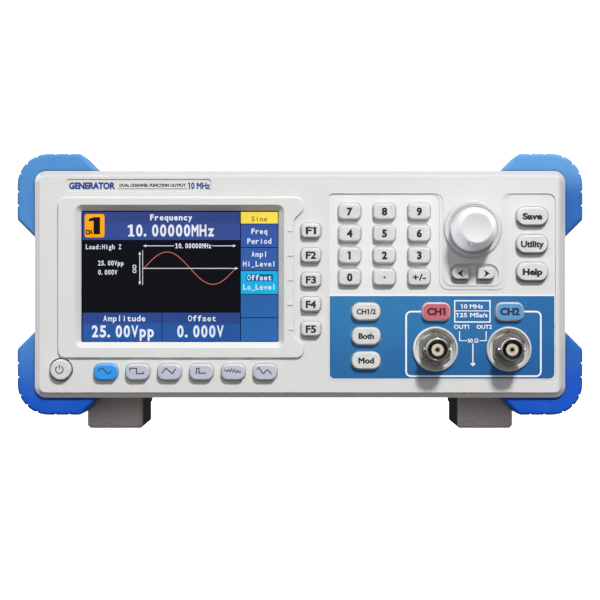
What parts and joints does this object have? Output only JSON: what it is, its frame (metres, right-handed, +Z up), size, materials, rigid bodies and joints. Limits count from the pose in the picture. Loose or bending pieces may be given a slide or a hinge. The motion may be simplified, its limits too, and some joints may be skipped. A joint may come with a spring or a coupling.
{
  "type": "function generator",
  "caption": "Bench function generator with a colour display, keypad, dial and coaxial outputs, in a metal case with rubber corner guards.",
  "frame": {"origin": "middle of the overall footprint, on the bench plane", "axes": "+Z up, -Y out of the front panel, +X to the right seen from the front"},
  "size_m": [0.235, 0.295, 0.1158],
  "materials": {
    "bezel_plastic": "fine moulded texture, satin",
    "display": "glossy, lit",
    "overlay_film": "printed satin film",
    "mat_rubber": "satin",
    "circuit_board": "solder mask",
    "encoder_plastic": "satin",
    "shaft_steel": "turned",
    "knob_plastic": "semi-gloss",
    "key_plastic": "satin",
    "wave_key_plastic": "satin",
    "lit_key_plastic": "translucent, lit from behind",
    "channel_1_plastic": "satin",
    "channel_2_plastic": "satin",
    "nickel_plate": "bright nickel",
    "white_dielectric": "satin",
    "gold_plate": "plated",
    "case_paint": "fine powder coat",
    "rear_paint": "fine powder coat",
    "bumper_rubber": "matt",
    "foot_plastic": "satin",
    "leg_plastic": "satin",
    "supply_board": "phenolic board and parts",
    "black_plastic": "satin",
    "rocker_plastic": "semi-gloss",
    "screw_steel": "zinc plate"
  },
  "bodies": {
    "chassis": {"front_bezel": "bezel_plastic", "lcd_module": "display", "output_overlay": "overlay_film", "keypad_mat": "mat_rubber", "control_board": "circuit_board", "encoder_body": "encoder_plastic", "bnc_shells": "nickel_plate", "bnc_insulators": "white_dielectric", "bnc_contacts": "gold_plate", "top_cover": "case_paint", "bottom_cover": "case_paint", "rear_panel": "rear_paint", "front_bumpers": "bumper_rubber", "rear_bumpers": "bumper_rubber", "feet": "foot_plastic", "main_board": "circuit_board", "power_supply": "supply_board", "fan_frame": "black_plastic", "mains_inlet": "black_plastic", "case_screws": "screw_steel"},
    "dial": {"knob": "knob_plastic", "encoder_shaft": "shaft_steel"},
    "fan_rotor": {"fan_rotor": "black_plastic"},
    "tilt_leg_right": {"tilt_leg_right": "leg_plastic"},
    "tilt_leg_left": {"tilt_leg_left": "leg_plastic"},
    "mains_rocker": {"mains_rocker": "rocker_plastic"},
    "power_button": {"power_button": "key_plastic"},
    "wave_key_sine": {"wave_key_sine": "lit_key_plastic"},
    "wave_key_square": {"wave_key_square": "wave_key_plastic"},
    "wave_key_ramp": {"wave_key_ramp": "wave_key_plastic"},
    "wave_key_pulse": {"wave_key_pulse": "wave_key_plastic"},
    "wave_key_noise": {"wave_key_noise": "wave_key_plastic"},
    "wave_key_arb": {"wave_key_arb": "wave_key_plastic"},
    "key_f1": {"key_f1": "key_plastic"},
    "key_f2": {"key_f2": "key_plastic"},
    "key_f3": {"key_f3": "key_plastic"},
    "key_f4": {"key_f4": "key_plastic"},
    "key_f5": {"key_f5": "key_plastic"},
    "key_0": {"key_0": "key_plastic"},
    "key_1": {"key_1": "key_plastic"},
    "key_2": {"key_2": "key_plastic"},
    "key_3": {"key_3": "key_plastic"},
    "key_4": {"key_4": "key_plastic"},
    "key_5": {"key_5": "key_plastic"},
    "key_6": {"key_6": "key_plastic"},
    "key_7": {"key_7": "key_plastic"},
    "key_8": {"key_8": "key_plastic"},
    "key_9": {"key_9": "key_plastic"},
    "key_point": {"key_point": "key_plastic"},
    "key_sign": {"key_sign": "key_plastic"},
    "key_left": {"key_left": "key_plastic"},
    "key_right": {"key_right": "key_plastic"},
    "key_save": {"key_save": "key_plastic"},
    "key_utility": {"key_utility": "key_plastic"},
    "key_help": {"key_help": "key_plastic"},
    "key_channel": {"key_channel": "key_plastic"},
    "key_both": {"key_both": "key_plastic"},
    "key_mod": {"key_mod": "key_plastic"},
    "key_ch1": {"key_ch1": "channel_1_plastic"},
    "key_ch2": {"key_ch2": "channel_2_plastic"}
  },
  "joints": [
    {"name": "power_button_press", "type": "slide", "parent": "chassis", "child": "power_button", "axis": [0, 1, 0], "range_m": [0, 0.0012]},
    {"name": "wave_key_sine_press", "type": "slide", "parent": "chassis", "child": "wave_key_sine", "axis": [0, 1, 0], "range_m": [0, 0.0012]},
    {"name": "wave_key_square_press", "type": "slide", "parent": "chassis", "child": "wave_key_square", "axis": [0, 1, 0], "range_m": [0, 0.0012]},
    {"name": "wave_key_ramp_press", "type": "slide", "parent": "chassis", "child": "wave_key_ramp", "axis": [0, 1, 0], "range_m": [0, 0.0012]},
    {"name": "wave_key_pulse_press", "type": "slide", "parent": "chassis", "child": "wave_key_pulse", "axis": [0, 1, 0], "range_m": [0, 0.0012]},
    {"name": "wave_key_noise_press", "type": "slide", "parent": "chassis", "child": "wave_key_noise", "axis": [0, 1, 0], "range_m": [0, 0.0012]},
    {"name": "wave_key_arb_press", "type": "slide", "parent": "chassis", "child": "wave_key_arb", "axis": [0, 1, 0], "range_m": [0, 0.0012]},
    {"name": "key_f1_press", "type": "slide", "parent": "chassis", "child": "key_f1", "axis": [0, 1, 0], "range_m": [0, 0.0012]},
    {"name": "key_f2_press", "type": "slide", "parent": "chassis", "child": "key_f2", "axis": [0, 1, 0], "range_m": [0, 0.0012]},
    {"name": "key_f3_press", "type": "slide", "parent": "chassis", "child": "key_f3", "axis": [0, 1, 0], "range_m": [0, 0.0012]},
    {"name": "key_f4_press", "type": "slide", "parent": "chassis", "child": "key_f4", "axis": [0, 1, 0], "range_m": [0, 0.0012]},
    {"name": "key_f5_press", "type": "slide", "parent": "chassis", "child": "key_f5", "axis": [0, 1, 0], "range_m": [0, 0.0012]},
    {"name": "key_0_press", "type": "slide", "parent": "chassis", "child": "key_0", "axis": [0, 1, 0], "range_m": [0, 0.0012]},
    {"name": "key_1_press", "type": "slide", "parent": "chassis", "child": "key_1", "axis": [0, 1, 0], "range_m": [0, 0.0012]},
    {"name": "key_2_press", "type": "slide", "parent": "chassis", "child": "key_2", "axis": [0, 1, 0], "range_m": [0, 0.0012]},
    {"name": "key_3_press", "type": "slide", "parent": "chassis", "child": "key_3", "axis": [0, 1, 0], "range_m": [0, 0.0012]},
    {"name": "key_4_press", "type": "slide", "parent": "chassis", "child": "key_4", "axis": [0, 1, 0], "range_m": [0, 0.0012]},
    {"name": "key_5_press", "type": "slide", "parent": "chassis", "child": "key_5", "axis": [0, 1, 0], "range_m": [0, 0.0012]},
    {"name": "key_6_press", "type": "slide", "parent": "chassis", "child": "key_6", "axis": [0, 1, 0], "range_m": [0, 0.0012]},
    {"name": "key_7_press", "type": "slide", "parent": "chassis", "child": "key_7", "axis": [0, 1, 0], "range_m": [0, 0.0012]},
    {"name": "key_8_press", "type": "slide", "parent": "chassis", "child": "key_8", "axis": [0, 1, 0], "range_m": [0, 0.0012]},
    {"name": "key_9_press", "type": "slide", "parent": "chassis", "child": "key_9", "axis": [0, 1, 0], "range_m": [0, 0.0012]},
    {"name": "key_point_press", "type": "slide", "parent": "chassis", "child": "key_point", "axis": [0, 1, 0], "range_m": [0, 0.0012]},
    {"name": "key_sign_press", "type": "slide", "parent": "chassis", "child": "key_sign", "axis": [0, 1, 0], "range_m": [0, 0.0012]},
    {"name": "key_left_press", "type": "slide", "parent": "chassis", "child": "key_left", "axis": [0, 1, 0], "range_m": [0, 0.0012]},
    {"name": "key_right_press", "type": "slide", "parent": "chassis", "child": "key_right", "axis": [0, 1, 0], "range_m": [0, 0.0012]},
    {"name": "key_save_press", "type": "slide", "parent": "chassis", "child": "key_save", "axis": [0, 1, 0], "range_m": [0, 0.0012]},
    {"name": "key_utility_press", "type": "slide", "parent": "chassis", "child": "key_utility", "axis": [0, 1, 0], "range_m": [0, 0.0012]},
    {"name": "key_help_press", "type": "slide", "parent": "chassis", "child": "key_help", "axis": [0, 1, 0], "range_m": [0, 0.0012]},
    {"name": "key_channel_press", "type": "slide", "parent": "chassis", "child": "key_channel", "axis": [0, 1, 0], "range_m": [0, 0.0012]},
    {"name": "key_both_press", "type": "slide", "parent": "chassis", "child": "key_both", "axis": [0, 1, 0], "range_m": [0, 0.0012]},
    {"name": "key_mod_press", "type": "slide", "parent": "chassis", "child": "key_mod", "axis": [0, 1, 0], "range_m": [0, 0.0012]},
    {"name": "key_ch1_press", "type": "slide", "parent": "chassis", "child": "key_ch1", "axis": [0, 1, 0], "range_m": [0, 0.0012]},
    {"name": "key_ch2_press", "type": "slide", "parent": "chassis", "child": "key_ch2", "axis": [0, 1, 0], "range_m": [0, 0.0012]},
    {"name": "knob_turn", "type": "hinge", "parent": "chassis", "child": "dial", "pos_m": [0.0715, -0.1375, 0.0843], "axis": [0, -1, 0], "continuous": true},
    {"name": "fan_spin", "type": "hinge", "parent": "chassis", "child": "fan_rotor", "pos_m": [-0.072, 0.1253, 0.0615], "axis": [0, 1, 0], "continuous": true},
    {"name": "tilt_leg_right_fold", "type": "hinge", "parent": "chassis", "child": "tilt_leg_right", "pos_m": [0.0792, -0.0965, 0.0046], "axis": [-1, 0, 0], "range_deg": [0, 95]},
    {"name": "tilt_leg_left_fold", "type": "hinge", "parent": "chassis", "child": "tilt_leg_left", "pos_m": [-0.0792, -0.0965, 0.0046], "axis": [-1, 0, 0], "range_deg": [0, 95]},
    {"name": "mains_rocker_tip", "type": "hinge", "parent": "chassis", "child": "mains_rocker", "pos_m": [0.076, 0.1285, 0.069], "axis": [-1, 0, 0], "range_deg": [0, 16]}
  ]
}
